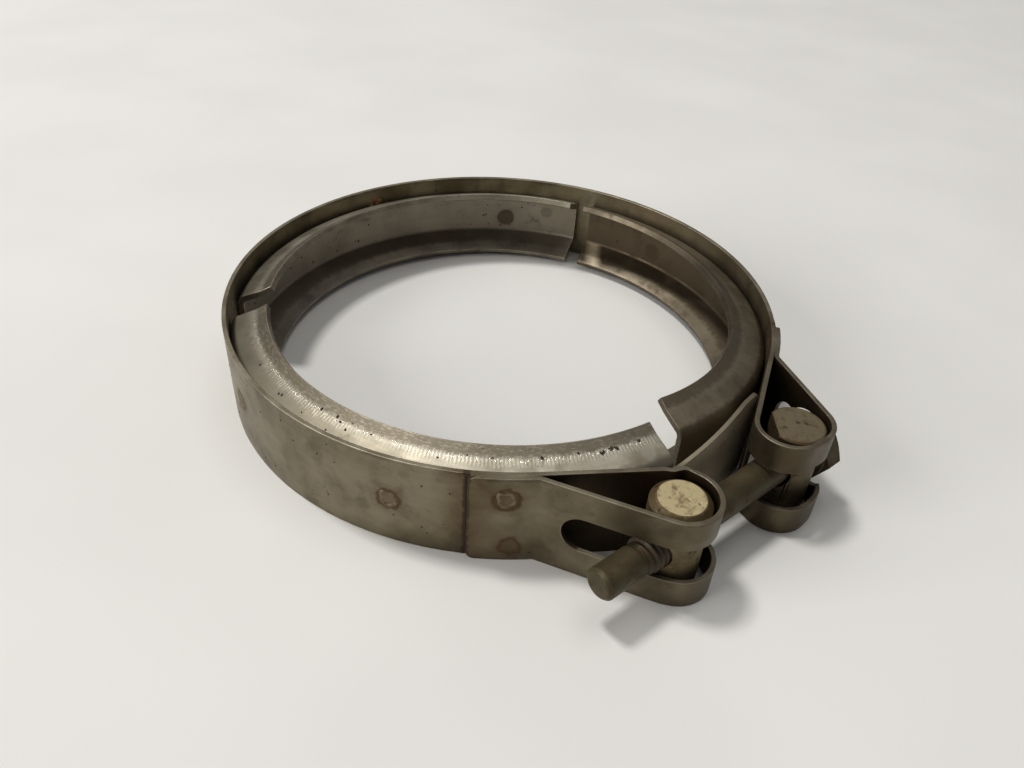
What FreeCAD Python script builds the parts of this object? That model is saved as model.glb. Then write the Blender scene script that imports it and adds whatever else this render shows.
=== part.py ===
import FreeCAD, Part
import math
import os

# V-band clamp: a slotted spring-steel strap with a loop at each end, three V-section
# retainers inside it, a leaf that bridges the closing gap, two cross trunnions and a bolt.
# Millimetres and degrees.  +Z is the ring axis, z = 0 the plane where the two flanges meet,
# and the closure with its bolt lies at -Y with the bolt along X.

V = FreeCAD.Vector

# ---- strap -------------------------------------------------------------------------------
BAND_OUTER_RADIUS = 51.0
STRAP_THICKNESS = 0.8
STRAP_WIDTH = 17.0
STRAND_BEND_RADIUS = 1.6      # centre line of the kink where the outer strand leaves the band
TAB_ARC = 11.0                # degrees of the band that the welded tab covers
TAB_CORNER = 1.2              # rounded corners of the tab's end
KINK_LEAD_ANGLE = 0.6         # from that kink to where the inner strand leaves the band

# ---- slots in the two loops --------------------------------------------------------------
SLOT_HEIGHT = 6.5
SLOT_SETBACK = 3.6            # from the kink to the slot's round end
SLOT_END_ANGLE = 45.0         # where the slot stops, round the loop from the bolt's line
HEAD_WINDOW_CLEARANCE = 0.4   # round the bolt head's corners, in the far loop

# ---- trunnions ---------------------------------------------------------------------------
NEAR_TRUNNION_X = -14.0
FAR_TRUNNION_X = 13.9
BOLT_LINE_STANDOFF = 6.5      # from the band's outer face out to the bolt's line
TRUNNION_RADIUS = 4.65
NEAR_CHAMFER = 0.95
FAR_CHAMFER = 0.3
TRUNNION_OVERHANG = -0.7      # how far each end stands past the strap's edge
FAR_TRUNNION_DROP = 0.4       # the plain trunnion sits this much lower at its upper end
LOOP_CLEARANCE = 0.3          # between a trunnion and the inside of its loop
NEAR_SEAT = 4.1               # from the near trunnion's axis to its flat round the thread
NEAR_SEAT_RADIUS = 3.7
HEAD_SEAT = 3.4               # from the far trunnion's axis to the flat under the head
FLAT_DEPTH = 1.1              # flat on the far trunnion's side, off its round
FLAT_HEIGHT = 4.4             # down from the trunnion's upper end
FLAT_DIRECTION = 138.0        # the way that flat faces, about Z

# ---- bolt --------------------------------------------------------------------------------
THREAD_RADIUS = 2.95
THREAD_CLEARANCE = 0.05
SHANK_RADIUS = 2.68
SHANK_HOLE_CLEARANCE = 0.5
HEAD_ACROSS_FLATS = 10.0
HEAD_HEIGHT = 4.0
HEAD_CHAMFER_ANGLE = 30.0
HEAD_FACE_INSET = 0.1         # the chamfer's rim, in from the flats at the outer face
HEAD_WASHER_STEP = 0.3
THREAD_PAST_TRUNNION = 3.0    # thread that stands out of the near trunnion
GROOVE_WIDTH = 0.7
GROOVE_RADIUS = 2.35
PILOT_RADIUS = 2.58
PILOT_LENGTH = 7.0
PILOT_CHAMFER = 0.5

# ---- V-section retainers -----------------------------------------------------------------
RETAINER_THICKNESS = 1.25
WELD_GAP = 0.1                # between a retainer's web and the strap it is welded to
WEB_HALF_HEIGHT = 3.4
WEB_BEND_OUTER_RADIUS = 2.0
FLANK_ANGLE = 20.0
LIP_ANGLE = 28.0
LIP_START_DEPTH = 5.8         # in from the band's outer face to where the lip starts
LIP_TIP_DEPTH = 7.9           # and to its tip
LIP_BEND_RADIUS = 3.0
RETAINER_ANGLES = {           # name: (angle where it starts, angle it covers)
    "retainer_left": (150.5, 112.7),
    "retainer_back": (29.5, 113.2),
    "retainer_right": (-45.0, 70.6),
}
SPRUNG_TIGHTENING = 9.7       # how much tighter the right retainer's sprung-in end is bent
SPRUNG_ARC = 55.6

# ---- leaf that bridges the closing gap ---------------------------------------------------
LEAF_THICKNESS = 0.8
LEAF_START_ANGLE = -111.0
LEAF_ARC = 30.0
LEAF_END_X = 14.6
LEAF_EDGE_INSET = 0.1         # the leaf's wide end, in from the strap's edge
LEAF_WIDE_X = 10.5            # the leaf narrows from here towards its hidden end
LEAF_NARROW_X = -5.5
LEAF_NARROW_WIDTH = 7.0
LEAF_CORNER = 1.5

# ---- sizes that follow -------------------------------------------------------------------
HALF_STRAP = STRAP_THICKNESS / 2
HALF_WIDTH = STRAP_WIDTH / 2
BAND_INNER_RADIUS = BAND_OUTER_RADIUS - STRAP_THICKNESS
BAND_MID_RADIUS = BAND_OUTER_RADIUS - HALF_STRAP
TAB_MID_RADIUS = BAND_OUTER_RADIUS + HALF_STRAP
LOOP_MID_RADIUS = TRUNNION_RADIUS + LOOP_CLEARANCE + HALF_STRAP
WEB_OUTER_RADIUS = BAND_INNER_RADIUS - WELD_GAP
LIP_START_RADIUS = BAND_OUTER_RADIUS - LIP_START_DEPTH
LIP_TIP_RADIUS = BAND_OUTER_RADIUS - LIP_TIP_DEPTH
SPRUNG_RADIUS = WEB_OUTER_RADIUS - SPRUNG_TIGHTENING
BOLT_LINE_Y = -BAND_OUTER_RADIUS - BOLT_LINE_STANDOFF
HEAD_CORNER_RADIUS = HEAD_ACROSS_FLATS / 2 / math.cos(math.radians(30))
SNAP = 0.005                  # corners nearer than this are one corner
CUT_PAST = 2.0                # cutters run this far past what they cut
REACH = 4 * LOOP_MID_RADIUS   # cutters run this far, clear of a loop

# How each leg of a loop runs round its trunnion: the centre that each bend turns about,
# measured from the trunnion, and its change in radius.  The lower legs are slacker.
NEAR_UPPER = [(0.0, -0.2, 0.1)]
NEAR_LOWER = [(0.0, -0.2, 0.1), (0.6, -1.0, 0.1), (0.0, -0.2, 0.1)]
FAR_UPPER = [(0.0, 0.0, 0.0), (2.7, -0.1, -0.3)]
FAR_LOWER = [(0.0, 0.0, 0.0), (1.0, -1.3, 0.0), (2.8, -1.6, -0.1), (2.7, -0.1, -0.3)]


def along(angle, length=1.0):
    """A vector of a length, at an angle in the plane."""
    turn = math.radians(angle)
    return V(length * math.cos(turn), length * math.sin(turn), 0)


def flat_place(point):
    """The plane of the ring."""
    return point


def section_place(point):
    """The plane of a retainer's section: radius along X, height along Z."""
    return V(point.x, 0, point.y)


class Roll:
    """A round that a strip of sheet is bent about: anticlockwise is 1, clockwise -1."""

    def __init__(self, centre, radius, sense=1):
        self.centre = centre
        self.radius = radius
        self.sense = sense

    def at(self, angle, offset):
        """A point of the strip at an angle, offset to the left of the way it runs."""
        return self.centre + along(angle, self.radius - self.sense * offset)

    def heading_to(self, other):
        """The heading of the straight that runs from this round to the next."""
        step = other.centre - self.centre
        rise = other.sense * other.radius - self.sense * self.radius
        lean = math.asin(max(-1.0, min(1.0, rise / step.Length)))
        return math.degrees(math.atan2(step.y, step.x) - lean)


def bent_edges(rolls, start, end, offset, place):
    """The edges of one face of a bent strip, in order."""
    headings = [a.heading_to(b) for a, b in zip(rolls, rolls[1:])]
    stops = []
    for index, roll in enumerate(rolls):
        arrive = headings[index - 1] - 90 * roll.sense if index else start
        leave = headings[index] - 90 * roll.sense if index < len(headings) else end
        stops.append((roll, arrive, leave))
    points = []
    edges = []
    for roll, arrive, leave in stops:
        if arrive is None:
            arrive = leave
        if leave is None:
            leave = arrive
        sweep = ((leave - arrive) * roll.sense) % 360
        if sweep > 359.9:
            sweep = 0.0
        first = place(roll.at(arrive, offset))
        if points and (first - points[-1]).Length > SNAP:
            edges.append(Part.makeLine(points[-1], first))
        elif points:
            first = points[-1]
        if sweep > 0.01:
            middle = place(roll.at(arrive + roll.sense * sweep / 2, offset))
            last = place(roll.at(leave, offset))
            edges.append(Part.Arc(first, middle, last).toShape())
            points.append(last)
        else:
            points.append(first)
    return edges


def strip_face(rolls, thickness, start=None, end=None, place=flat_place):
    """The face between the two sides of a strip of sheet bent about the rolls."""
    left = bent_edges(rolls, start, end, thickness / 2, place)
    right = bent_edges(rolls, start, end, -thickness / 2, place)
    caps = [
        Part.makeLine(left[0].firstVertex(True).Point, right[0].firstVertex(True).Point),
        Part.makeLine(left[-1].lastVertex(True).Point, right[-1].lastVertex(True).Point),
    ]
    wire = Part.Wire(Part.__sortEdges__(left + right + caps))
    return Part.Face(wire)


def loop_bends(trunnion_x, legs):
    """The rounds that one leg of a loop is bent about."""
    return [Roll(V(trunnion_x + x, BOLT_LINE_Y + y, 0), LOOP_MID_RADIUS + grow)
            for x, y, grow in legs]


def merge_angle(trunnion_x, legs):
    """Where the inner strand of a loop at -X of the gap runs into the band."""
    band = Roll(V(0, 0, 0), BAND_MID_RADIUS, -1)
    return loop_bends(trunnion_x, legs)[-1].heading_to(band) + 90


def kink_roll(kink_angle):
    """The small round where the outer strand leaves the band."""
    return Roll(along(kink_angle, TAB_MID_RADIUS + STRAND_BEND_RADIUS), STRAND_BEND_RADIUS, -1)


def loop_leg(trunnion_x, legs, kink_angle, low, high):
    """One leg of a closure loop, from its welded tab round the trunnion to the band."""
    rolls = [Roll(V(0, 0, 0), TAB_MID_RADIUS), kink_roll(kink_angle)]
    rolls += loop_bends(trunnion_x, legs)
    rolls.append(Roll(V(0, 0, 0), BAND_MID_RADIUS, -1))
    face = strip_face(rolls, STRAP_THICKNESS, start=kink_angle - TAB_ARC)
    face.translate(V(0, 0, low))
    return face.extrude(V(0, 0, high - low))


def slot_cutter(kink, bends):
    """The slot that the bolt passes through, from the outer strand round to the gap side."""
    heading = kink.heading_to(bends[0])
    outward = along(heading - 90)
    end = kink.at(heading + 90, 0) + along(heading, SLOT_SETBACK + SLOT_HEIGHT / 2)
    turn = bends[-1].centre
    corners = [end + outward * REACH, end - outward * STRAP_THICKNESS, turn]
    for angle in (SLOT_END_ANGLE, 0, -SLOT_END_ANGLE, -2 * SLOT_END_ANGLE):
        corners.append(turn + along(angle, REACH))
    corners = [corner - V(0, 0, SLOT_HEIGHT / 2) for corner in corners]
    body = Part.Face(Part.makePolygon(corners + corners[:1])).extrude(V(0, 0, SLOT_HEIGHT))
    nose_start = end - outward * STRAP_THICKNESS
    nose = Part.makeCylinder(SLOT_HEIGHT / 2, REACH, nose_start, outward)
    return body.fuse(nose)


def tab_corner_cutter(kink_angle):
    """What rounds the two corners of a tab's end, seen square on to the band."""
    tip = kink_angle - TAB_ARC
    inner = BAND_INNER_RADIUS
    sharp = Part.makeBox(4 * STRAP_THICKNESS, 2 * TAB_CORNER, STRAP_WIDTH + 2 * TAB_CORNER,
                         V(inner, -TAB_CORNER, -HALF_WIDTH - TAB_CORNER))
    keep = Part.makeBox(4 * STRAP_THICKNESS, 2 * TAB_CORNER, STRAP_WIDTH - 2 * TAB_CORNER,
                        V(inner, 0, -HALF_WIDTH + TAB_CORNER))
    for side in (-1, 1):
        start = V(inner, TAB_CORNER, side * (HALF_WIDTH - TAB_CORNER))
        keep = keep.fuse(Part.makeCylinder(TAB_CORNER, 4 * STRAP_THICKNESS, start, V(1, 0, 0)))
    cutter = sharp.cut(keep)
    beyond = Part.makeBox(4 * STRAP_THICKNESS, TAB_CORNER, STRAP_WIDTH + 2 * TAB_CORNER,
                          V(inner, TAB_CORNER, -HALF_WIDTH - TAB_CORNER))
    cutter = cutter.cut(beyond)
    ring_height = STRAP_WIDTH + 2 * CUT_PAST
    ring = Part.makeCylinder(BAND_OUTER_RADIUS, ring_height, V(0, 0, -HALF_WIDTH - CUT_PAST))
    cutter.rotate(V(0, 0, 0), V(0, 0, 1), tip)
    return cutter.cut(ring)


def closure_loop(trunnion_x, upper, lower, window=None):
    """A whole loop at -X of the closing gap: two legs, its slot and its tab."""
    kink_angle = merge_angle(trunnion_x, upper) - KINK_LEAD_ANGLE
    top = loop_leg(trunnion_x, upper, kink_angle, 0, HALF_WIDTH)
    bottom = loop_leg(trunnion_x, lower, kink_angle, -HALF_WIDTH, 0)
    slot = slot_cutter(kink_roll(kink_angle), loop_bends(trunnion_x, upper))
    loop = top.fuse(bottom).cut(slot).cut(tab_corner_cutter(kink_angle))
    if window:
        start = V(trunnion_x - TRUNNION_RADIUS / 2, BOLT_LINE_Y, 0)
        loop = loop.cut(Part.makeCylinder(window, REACH, start, V(-1, 0, 0)))
    return loop


def make_strap():
    """The strap: the band round the ring with a closure loop at each end, in one piece."""
    near = closure_loop(NEAR_TRUNNION_X, NEAR_UPPER, NEAR_LOWER)
    window = HEAD_CORNER_RADIUS + HEAD_WINDOW_CLEARANCE
    far = closure_loop(-FAR_TRUNNION_X, FAR_UPPER, FAR_LOWER, window)
    far = far.mirror(V(0, 0, 0), V(1, 0, 0))
    first = 180 - merge_angle(-FAR_TRUNNION_X, FAR_UPPER)
    sweep = (merge_angle(NEAR_TRUNNION_X, NEAR_UPPER) - first) % 360
    band = Part.makeCylinder(BAND_OUTER_RADIUS, STRAP_WIDTH, V(0, 0, -HALF_WIDTH), V(0, 0, 1), sweep)
    hole = Part.makeCylinder(BAND_INNER_RADIUS, STRAP_WIDTH, V(0, 0, -HALF_WIDTH))
    band = band.cut(hole)
    band.rotate(V(0, 0, 0), V(0, 0, 1), first)
    return band.fuse([near, far]).removeSplitter()


def retainer_section():
    """The V section: flat web, two flanks that lean out and a steeper lip on each."""
    bend_mid = WEB_BEND_OUTER_RADIUS - RETAINER_THICKNESS / 2
    bend = V(WEB_OUTER_RADIUS - WEB_BEND_OUTER_RADIUS, WEB_HALF_HEIGHT, 0)
    flank_heading = 180 - FLANK_ANGLE
    flank_start = bend + along(90 - FLANK_ANGLE, bend_mid)
    flank = (flank_start.x - LIP_START_RADIUS) / math.cos(math.radians(FLANK_ANGLE))
    knee = flank_start + along(flank_heading, flank)
    turn = LIP_ANGLE - FLANK_ANGLE
    setback = LIP_BEND_RADIUS * math.tan(math.radians(turn / 2))
    lip_centre = knee - along(flank_heading, setback) + along(flank_heading - 90, LIP_BEND_RADIUS)
    lip = (LIP_START_RADIUS - LIP_TIP_RADIUS) / math.cos(math.radians(LIP_ANGLE))
    tip = knee + along(180 - LIP_ANGLE, lip)
    upper = [(bend, bend_mid, 1), (lip_centre, LIP_BEND_RADIUS, -1), (tip, 0, 1)]
    lower = [(V(c.x, -c.y, 0), radius, sense) for c, radius, sense in reversed(upper)]
    rolls = [Roll(*item) for item in lower + upper]
    return strip_face(rolls, RETAINER_THICKNESS, place=section_place)


def make_retainer(start, sweep):
    """One retainer: the V section turned about the ring axis."""
    face = retainer_section()
    face.rotate(V(0, 0, 0), V(0, 0, 1), start)
    return face.revolve(V(0, 0, 0), V(0, 0, 1), sweep)


def make_sprung_end(start):
    """The end of the right retainer that has sprung in from the strap, on a tighter bend."""
    face = retainer_section()
    face.rotate(V(0, 0, 0), V(0, 0, 1), start)
    centre = along(start, WEB_OUTER_RADIUS - SPRUNG_RADIUS)
    return face.revolve(centre, V(0, 0, -1), SPRUNG_ARC)


def make_leaf():
    """The leaf inside the strap that bridges the closing gap; its hidden end is narrower."""
    mid = BAND_INNER_RADIUS + LEAF_THICKNESS / 2
    straight_start = LEAF_START_ANGLE + LEAF_ARC
    corner = along(straight_start, mid)
    heading = straight_start + 90
    run = (LEAF_END_X - corner.x) / math.cos(math.radians(heading))
    rolls = [Roll(V(0, 0, 0), mid), Roll(corner + along(heading, run), 0)]
    face = strip_face(rolls, LEAF_THICKNESS, start=LEAF_START_ANGLE)
    half = HALF_WIDTH - LEAF_EDGE_INSET
    face.translate(V(0, 0, -half))
    strip = face.extrude(V(0, 0, 2 * half))
    narrow = LEAF_NARROW_WIDTH / 2
    left = -BAND_OUTER_RADIUS / 2
    depth = V(0, BAND_OUTER_RADIUS, 0)
    front = -BAND_OUTER_RADIUS - CUT_PAST
    outline = [(left, narrow), (LEAF_NARROW_X, narrow), (LEAF_WIDE_X, half), (LEAF_END_X, half)]
    outline += [(x, -z) for x, z in reversed(outline)]
    points = [V(x, front, z) for x, z in outline]
    blank = Part.Face(Part.makePolygon(points + points[:1])).extrude(depth)
    corners = [e for e in blank.Edges if abs(e.Length - depth.Length) < SNAP
               and abs(e.CenterOfMass.x - LEAF_END_X) < SNAP]
    return strip.common(blank.makeFillet(LEAF_CORNER, corners))


def trunnion_blank(x, drop, chamfer):
    """A round cross pin with chamfered ends, standing along Z."""
    top = HALF_WIDTH + TRUNNION_OVERHANG - drop
    bottom = -HALF_WIDTH - TRUNNION_OVERHANG
    axis_point = V(x, BOLT_LINE_Y, bottom)
    blank = Part.makeCylinder(TRUNNION_RADIUS, top - bottom, axis_point)
    rims = [e for e in blank.Edges if e.Curve.TypeId == "Part::GeomCircle"]
    return blank.makeChamfer(chamfer, rims)


def make_threaded_trunnion():
    """The near trunnion: a tapped cross hole, with a flat round seat where the thread leaves."""
    blank = trunnion_blank(NEAR_TRUNNION_X, 0, NEAR_CHAMFER)
    bore = THREAD_RADIUS + THREAD_CLEARANCE
    start = V(NEAR_TRUNNION_X - 2 * TRUNNION_RADIUS, BOLT_LINE_Y, 0)
    hole = Part.makeCylinder(bore, 4 * TRUNNION_RADIUS, start, V(1, 0, 0))
    seat_start = V(NEAR_TRUNNION_X - NEAR_SEAT, BOLT_LINE_Y, 0)
    seat = Part.makeCylinder(NEAR_SEAT_RADIUS, TRUNNION_RADIUS, seat_start, V(-1, 0, 0))
    return blank.cut(hole).cut(seat)


def make_plain_trunnion():
    """The far trunnion: a clearance cross hole, a seat for the head and a side flat."""
    blank = trunnion_blank(FAR_TRUNNION_X, FAR_TRUNNION_DROP, FAR_CHAMFER)
    hole_radius = SHANK_RADIUS + SHANK_HOLE_CLEARANCE
    start = V(FAR_TRUNNION_X - 2 * TRUNNION_RADIUS, BOLT_LINE_Y, 0)
    hole = Part.makeCylinder(hole_radius, 4 * TRUNNION_RADIUS, start, V(1, 0, 0))
    seat_start = V(FAR_TRUNNION_X + HEAD_SEAT, BOLT_LINE_Y, 0)
    seat_radius = HEAD_CORNER_RADIUS + HEAD_WINDOW_CLEARANCE
    seat = Part.makeCylinder(seat_radius, TRUNNION_RADIUS, seat_start, V(1, 0, 0))
    top = HALF_WIDTH + TRUNNION_OVERHANG - FAR_TRUNNION_DROP
    side = 2 * TRUNNION_RADIUS
    flat = Part.makeBox(side, 2 * side, FLAT_HEIGHT + CUT_PAST,
                        V(TRUNNION_RADIUS - FLAT_DEPTH, -side, top - FLAT_HEIGHT))
    flat.rotate(V(0, 0, 0), V(0, 0, 1), FLAT_DIRECTION)
    flat.translate(V(FAR_TRUNNION_X, BOLT_LINE_Y, 0))
    return blank.cut(hole).cut(seat).cut(flat)


def bolt_rod(radius, start_x, end_x):
    """A round length of the bolt."""
    return Part.makeCylinder(radius, end_x - start_x, V(start_x, BOLT_LINE_Y, 0), V(1, 0, 0))


def make_hex_head(start_x):
    """The hexagon head, chamfered at its outer end and stepped round under the seat."""
    step = bolt_rod(HEAD_ACROSS_FLATS / 2 - HEAD_WASHER_STEP, start_x, start_x + HEAD_WASHER_STEP)
    base_x = start_x + HEAD_WASHER_STEP
    corners = []
    for index in range(7):
        turn = math.radians(60 * index)
        across = HEAD_CORNER_RADIUS * math.cos(turn)
        up = HEAD_CORNER_RADIUS * math.sin(turn)
        corners.append(V(base_x, BOLT_LINE_Y + across, up))
    height = HEAD_HEIGHT - HEAD_WASHER_STEP
    prism = Part.Face(Part.makePolygon(corners)).extrude(V(height, 0, 0))
    rim = HEAD_ACROSS_FLATS / 2 - HEAD_FACE_INSET
    slope = math.tan(math.radians(HEAD_CHAMFER_ANGLE))
    wide = rim + height / slope
    cone = Part.makeCone(wide, rim, height, V(base_x, BOLT_LINE_Y, 0), V(1, 0, 0))
    return step.fuse(prism.common(cone))


def make_bolt():
    """The bolt, from its pilot end by the near trunnion to the head behind the far one."""
    seat_x = FAR_TRUNNION_X + HEAD_SEAT
    thread_start = NEAR_TRUNNION_X - TRUNNION_RADIUS - THREAD_PAST_TRUNNION
    thread_end = NEAR_TRUNNION_X + TRUNNION_RADIUS
    groove_start = thread_start - GROOVE_WIDTH
    pilot_start = groove_start - PILOT_LENGTH
    pilot = bolt_rod(PILOT_RADIUS, pilot_start, groove_start)
    tip = [e for e in pilot.Edges if abs(e.CenterOfMass.x - pilot_start) < SNAP]
    pieces = [
        bolt_rod(GROOVE_RADIUS, groove_start, thread_start),
        bolt_rod(THREAD_RADIUS, thread_start, thread_end),
        bolt_rod(SHANK_RADIUS, thread_end, seat_x),
        make_hex_head(seat_x),
    ]
    return pilot.makeChamfer(PILOT_CHAMFER, tip).fuse(pieces).removeSplitter()


def main():
    """Make every piece and write it to its own file."""
    shapes = {"strap": make_strap()}
    for name, (start, sweep) in RETAINER_ANGLES.items():
        shapes[name] = make_retainer(start, sweep)
    right_start = RETAINER_ANGLES["retainer_right"][0]
    sprung = make_sprung_end(right_start)
    shapes["retainer_right"] = shapes["retainer_right"].fuse(sprung).removeSplitter()
    shapes["gap_leaf"] = make_leaf()
    shapes["threaded_trunnion"] = make_threaded_trunnion()
    shapes["plain_trunnion"] = make_plain_trunnion()
    shapes["bolt"] = make_bolt()
    for name, shape in shapes.items():
        box = shape.BoundBox
        print(name, shape.isValid(), len(shape.Solids), round(shape.Volume, 2),
              [round(v, 2) for v in (box.XMin, box.YMin, box.ZMin, box.XMax, box.YMax, box.ZMax)])
        shape.exportStep("parts/" + name + ".step")


main()
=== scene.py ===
"""A V-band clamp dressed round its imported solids: worn sheet, cross pins, bolt and welds."""

import logging
import math
from dataclasses import dataclass, replace
from enum import Enum

import bmesh
import bpy
from mathutils import Matrix, Vector


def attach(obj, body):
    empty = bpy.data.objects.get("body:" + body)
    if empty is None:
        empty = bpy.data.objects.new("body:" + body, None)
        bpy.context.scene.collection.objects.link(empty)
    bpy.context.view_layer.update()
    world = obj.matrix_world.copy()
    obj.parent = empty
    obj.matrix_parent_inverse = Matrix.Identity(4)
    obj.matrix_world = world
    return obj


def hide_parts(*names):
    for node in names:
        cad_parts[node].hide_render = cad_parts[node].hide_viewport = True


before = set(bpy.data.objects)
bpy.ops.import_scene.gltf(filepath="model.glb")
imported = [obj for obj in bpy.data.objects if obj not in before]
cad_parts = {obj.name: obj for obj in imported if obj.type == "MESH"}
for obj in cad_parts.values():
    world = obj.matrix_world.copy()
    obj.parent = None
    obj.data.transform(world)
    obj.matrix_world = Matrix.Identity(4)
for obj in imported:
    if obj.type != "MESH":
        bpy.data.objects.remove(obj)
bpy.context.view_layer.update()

LOG = logging.getLogger("clamp")
MM = 0.001
CLAMP_BODY = "clamp"
BOLT_BODY = "bolt"
MERGE_DISTANCE = 0.001 * MM
SHARP_ANGLE = math.radians(33)
FLAT_ANGLE = math.radians(0.3)
EDGE_SLOT = 1
ROOT_TOLERANCE = 0.02 * MM
CUT_TOLERANCE = 0.0001 * MM
CRIMP_MARGIN = 1.5
TURN_SEED_STEP = 50

Colour = tuple[float, float, float]


# ---- node trees ----------------------------------------------------------------------------


class Term:
    """A socket's value, with the arithmetic that adds its Math nodes."""

    def __init__(self, graph: "Graph", socket: bpy.types.NodeSocket) -> None:
        """Keep the tree and the socket."""
        self.graph = graph
        self.socket = socket

    def math(self, operation: str, *others: "float | Term") -> "Term":
        """Add a Math node.

        Args:
            operation: the node's operation.
            others: its further inputs.

        Returns:
            The node's result.
        """
        values = {index: value for index, value in enumerate((self, *others))}
        return self.graph.node("ShaderNodeMath", {"operation": operation}, values)

    def __add__(self, other: "float | Term") -> "Term":
        """Sum."""
        return self.math("ADD", other)

    __radd__ = __add__

    def __mul__(self, other: "float | Term") -> "Term":
        """Product."""
        return self.math("MULTIPLY", other)

    __rmul__ = __mul__

    def __sub__(self, other: "float | Term") -> "Term":
        """Difference."""
        return self.math("SUBTRACT", other)

    def __rsub__(self, other: "float | Term") -> "Term":
        """Difference, the other way round."""
        return self.math("MULTIPLY", -1.0) + other

    def __truediv__(self, other: "float | Term") -> "Term":
        """Quotient."""
        return self.math("DIVIDE", other)

    def __pow__(self, other: "float | Term") -> "Term":
        """Power."""
        return self.math("POWER", other)

    def __abs__(self) -> "Term":
        """Size without its sign."""
        return self.math("ABSOLUTE")

    def lesser(self, other: "float | Term") -> "Term":
        """The smaller of two.

        Args:
            other: the value to compare with.

        Returns:
            Whichever is smaller.
        """
        return self.math("MINIMUM", other)

    def greater(self, other: "float | Term") -> "Term":
        """The larger of two.

        Args:
            other: the value to compare with.

        Returns:
            Whichever is larger.
        """
        return self.math("MAXIMUM", other)

    def rise(self, low: float, high: float) -> "Term":
        """A smooth step.

        Args:
            low: where it is 0.
            high: where it is 1; below low, the step falls.

        Returns:
            The step, from 0 to 1.
        """
        kind = {"interpolation_type": "SMOOTHSTEP"}
        if low < high:
            return self.graph.node("ShaderNodeMapRange", kind, {0: self, 1: low, 2: high})
        return 1.0 - self.graph.node("ShaderNodeMapRange", kind, {0: self, 1: high, 2: low})


class Graph:
    """A node tree with one way to add any node."""

    def __init__(self, tree: bpy.types.NodeTree) -> None:
        """Keep the tree."""
        self.tree = tree

    def made(self, kind: str, settings: dict | None = None, sockets: dict | None = None):
        """Add a node.

        Args:
            kind: the node's type.
            settings: its properties; stops are a ramp's places and colours.
            sockets: its inputs by name or number, as values or Terms.

        Returns:
            The node.
        """
        node = self.tree.nodes.new(kind)
        for key, value in (settings or {}).items():
            if key == "stops":
                for index, (place, colour) in enumerate(value):
                    stop = node.color_ramp.elements
                    item = stop[index] if index < len(stop) else stop.new(place)
                    item.position = place
                    item.color = (*colour, 1.0)
            else:
                setattr(node, key, value)
        for key, value in (sockets or {}).items():
            if isinstance(value, Term):
                self.tree.links.new(value.socket, node.inputs[key])
            else:
                node.inputs[key].default_value = value
        return node

    def node(self, kind: str, settings: dict | None = None, sockets: dict | None = None,
             out: int | str = 0) -> Term:
        """Add a node and take one of its outputs.

        Args:
            kind: the node's type.
            settings: its properties.
            sockets: its inputs.
            out: the output's number or name.

        Returns:
            That output.
        """
        return Term(self, self.made(kind, settings, sockets).outputs[out])

    def split(self, vector: Term) -> tuple[Term, Term, Term]:
        """Take a vector apart.

        Args:
            vector: the vector.

        Returns:
            Its three numbers.
        """
        node = self.made("ShaderNodeSeparateXYZ", {}, {0: vector})
        return tuple(Term(self, output) for output in node.outputs)

    def join(self, x: "float | Term", y: "float | Term", z: "float | Term") -> Term:
        """Put a vector together.

        Args:
            x: its first number.
            y: its second number.
            z: its third number.

        Returns:
            The vector.
        """
        return self.node("ShaderNodeCombineXYZ", {}, {0: x, 1: y, 2: z})


# ---- finishes ------------------------------------------------------------------------------


@dataclass(frozen=True)
class Spot:
    """A round heat mark on the ring: its angle, its height, its size and its strength."""

    angle: float
    height: float
    radius: float
    strength: float
    ring: bool = True


@dataclass(frozen=True)
class Zone:
    """A band of height on both sides of the mid-plane with a tint of its own."""

    low: float
    high: float
    tint: Colour
    strength: float
    teeth: float = 0.0
    dashes: float = 0.0


@dataclass(frozen=True)
class Cap:
    """The round end face of a pin, with a tint of its own."""

    x: float
    y: float
    radius: float
    height: float
    tint: Colour
    rim_tint: Colour


@dataclass(frozen=True)
class Hollow:
    """The inside of a strap loop: between its two strands and round its pin.

    Each strand is given by the way its inner face looks and its distance from the origin.
    """

    pin: tuple[float, float]
    away: tuple[float, float]
    strands: tuple[tuple[float, float, float], tuple[float, float, float]]
    inner_radius: float = 4.95


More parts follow.
